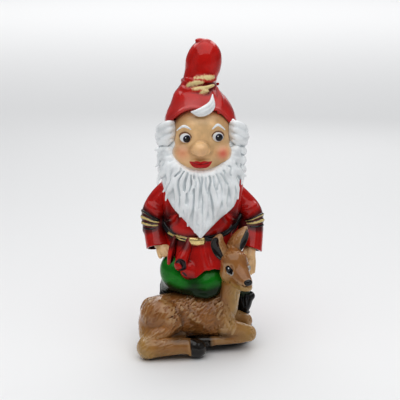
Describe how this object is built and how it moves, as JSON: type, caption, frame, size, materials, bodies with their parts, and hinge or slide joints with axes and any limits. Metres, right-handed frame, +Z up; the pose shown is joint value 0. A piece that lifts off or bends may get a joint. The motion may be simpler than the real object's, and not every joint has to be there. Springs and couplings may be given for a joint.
{
  "type": "garden gnome",
  "caption": "Painted hollow garden gnome squatting behind a lying fawn, with a tall hat and long beard, a flat underside to stand on and a push-in filler bung.",
  "frame": {"origin": "on the ground under the middle of the figure's box", "axes": "+Z up to the tip of the hat; the figure faces -Y; +X is the figure's left, towards the fawn's head"},
  "size_m": [0.1808, 0.173, 0.44],
  "materials": {
    "red_paint": "hand-painted gloss red",
    "white_paint": "hand-painted gloss white",
    "skin": "hand-painted gloss skin colour",
    "green_paint": "hand-painted gloss green, shaded black",
    "black_paint": "gloss black",
    "gold_paint": "gold paint",
    "brown_paint": "hand-painted gloss brown",
    "plate_plastic": "bare moulded plastic",
    "bung_rubber": "matt"
  },
  "bodies": {
    "figure": {"head": "skin", "hair_right": "white_paint", "hair_left": "white_paint", "beard": "white_paint", "hat": "red_paint", "forelock": "white_paint", "tunic": "red_paint", "tunic_skirt": "red_paint", "belt": "black_paint", "belt_buckle": "gold_paint", "sleeve_right": "red_paint", "sleeve_left": "red_paint", "armband_right": "gold_paint", "armband_left": "gold_paint", "hand_right": "skin", "hand_left": "skin", "trousers": "green_paint", "boot_right": "black_paint", "boot_left": "black_paint", "fawn_body": "brown_paint", "fawn_head": "brown_paint", "fawn_hind_leg": "brown_paint", "fawn_foreleg_near": "brown_paint", "fawn_foreleg_far": "brown_paint", "fawn_ear_right": "brown_paint", "fawn_ear_left": "brown_paint", "fawn_tail": "brown_paint", "ground": "black_paint", "closing_plate": "plate_plastic"},
    "bung": {"filler_bung": "bung_rubber"}
  },
  "joints": [
    {"name": "bung_pull", "type": "slide", "parent": "figure", "child": "bung", "axis": [0, 0, -1], "range_m": [0, 0.02]}
  ]
}
